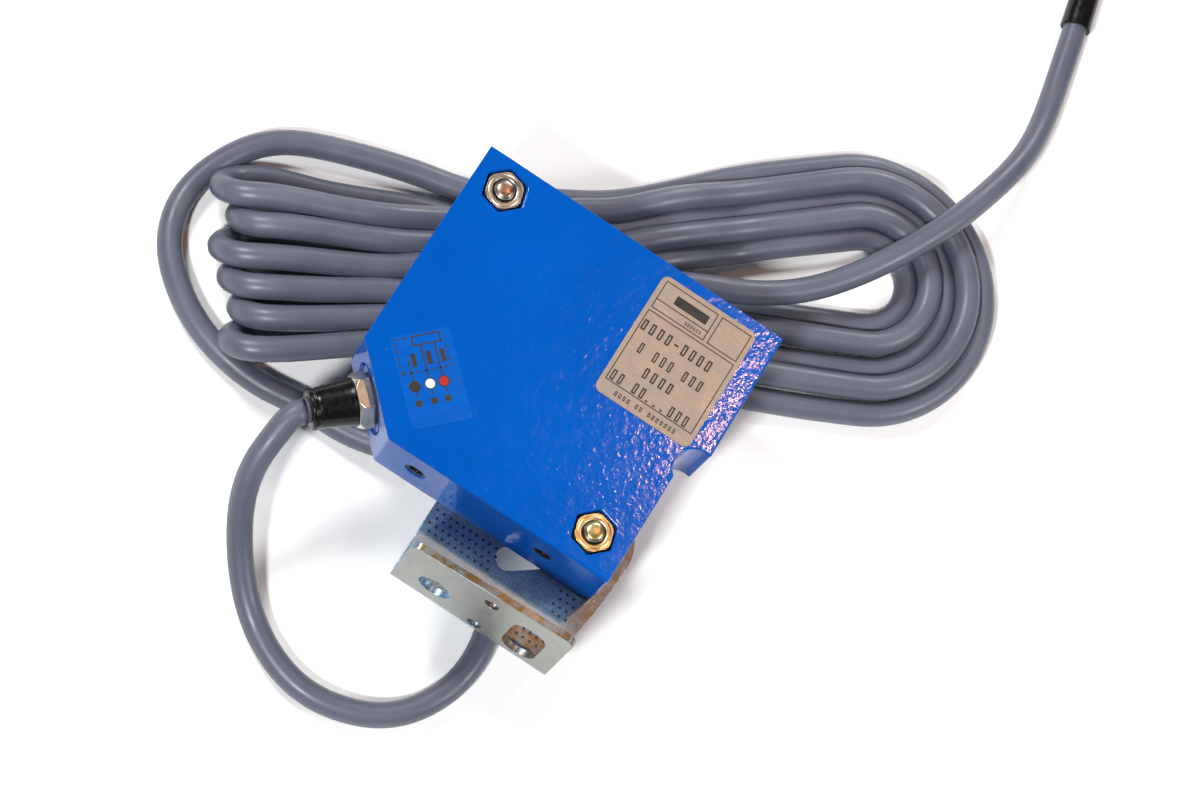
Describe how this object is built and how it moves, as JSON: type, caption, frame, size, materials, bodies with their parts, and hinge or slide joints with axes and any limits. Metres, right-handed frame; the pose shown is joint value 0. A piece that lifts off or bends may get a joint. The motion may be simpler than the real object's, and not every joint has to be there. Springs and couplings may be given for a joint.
{
  "type": "proximity sensor",
  "caption": "Block-shaped photoelectric proximity sensor in a painted die-cast housing, on an angle bracket that swivels under it, with its folded connecting cable.",
  "frame": {"origin": "middle of the two tapped holes in the housing's long side face, on that face", "axes": "+X out of the optical front, +Y from the tapped face to the adjuster face, +Z out of the labelled face"},
  "size_m": [0.1529, 0.2581, 0.04],
  "materials": {
    "housing_paint": "glossy",
    "seal_rubber": "matte",
    "small_screws": "satin",
    "window_plastic": "glossy",
    "black_plastic": "satin",
    "lens_clear": "clear",
    "filter_film": "glossy",
    "led_red": "glossy",
    "photodiode_dark": "glossy",
    "board_green": "satin",
    "gold_pins": "polished",
    "chip_black": "matte",
    "capacitor_can": "satin",
    "indicator_amber": "glossy",
    "pot_blue": "satin",
    "spindle_white": "satin",
    "nickel": "polished",
    "boot_rubber": "satin",
    "cable_grey": "satin",
    "core_red": "satin",
    "core_white": "satin",
    "core_black": "satin",
    "screw_zinc": "bright",
    "nut_zinc": "bright",
    "nut_yellow_zinc": "bright",
    "bracket_zinc": "satin",
    "label_silver": "satin",
    "label_film": "glossy",
    "ferrule_tin": "satin"
  },
  "bodies": {
    "root": {"housing": "housing_paint", "cover": "housing_paint", "cover_seal": "seal_rubber", "cover_screws": "small_screws", "front_window": "window_plastic", "window_seal": "seal_rubber", "optics_carrier": "black_plastic", "sender_lens": "lens_clear", "receiver_lens": "lens_clear", "polarising_filters": "filter_film", "sender_led": "led_red", "receiver_photodiode": "photodiode_dark", "optics_board": "board_green", "board_link": "gold_pins", "main_board": "board_green", "controller_chip": "chip_black", "voltage_regulator": "chip_black", "output_transistor": "chip_black", "capacitors": "capacitor_can", "indicator_led": "indicator_amber", "light_pipe": "indicator_amber", "adjuster_potentiometer": "pot_blue", "adjuster_bush": "black_plastic", "gland_body": "nickel", "gland_seal": "seal_rubber", "gland_boot": "boot_rubber", "cable_entry": "cable_grey", "cable_crimp": "small_screws", "core_red": "core_red", "core_white": "core_white", "core_black": "core_black", "fixing_screws": "screw_zinc", "washers": "screw_zinc", "upper_nut": "nut_zinc", "lower_nut": "nut_yellow_zinc", "name_label": "label_silver", "wiring_film": "label_film", "cable_lead": "cable_grey", "cable_hank": "cable_grey", "cable_side_loop": "cable_grey", "cable_tail": "cable_grey", "end_sleeve": "boot_rubber", "end_wire_red": "core_red", "end_wire_white": "core_white", "end_wire_black": "core_black", "wire_ferrules": "ferrule_tin"},
    "bracket": {"bracket": "bracket_zinc"},
    "adjuster": {"adjuster_spindle": "spindle_white"}
  },
  "joints": [
    {"name": "bracket_swivel", "type": "hinge", "parent": "root", "child": "bracket", "pos_m": [-0.0288, 0.0535, -0.0088], "axis": [0, 0, 1], "range_deg": [-3.8, 11.2]},
    {"name": "adjuster_turn", "type": "hinge", "parent": "root", "child": "adjuster", "pos_m": [-0.005, 0.0577, 0], "axis": [0, 1, 0], "range_deg": [-135, 135]}
  ]
}
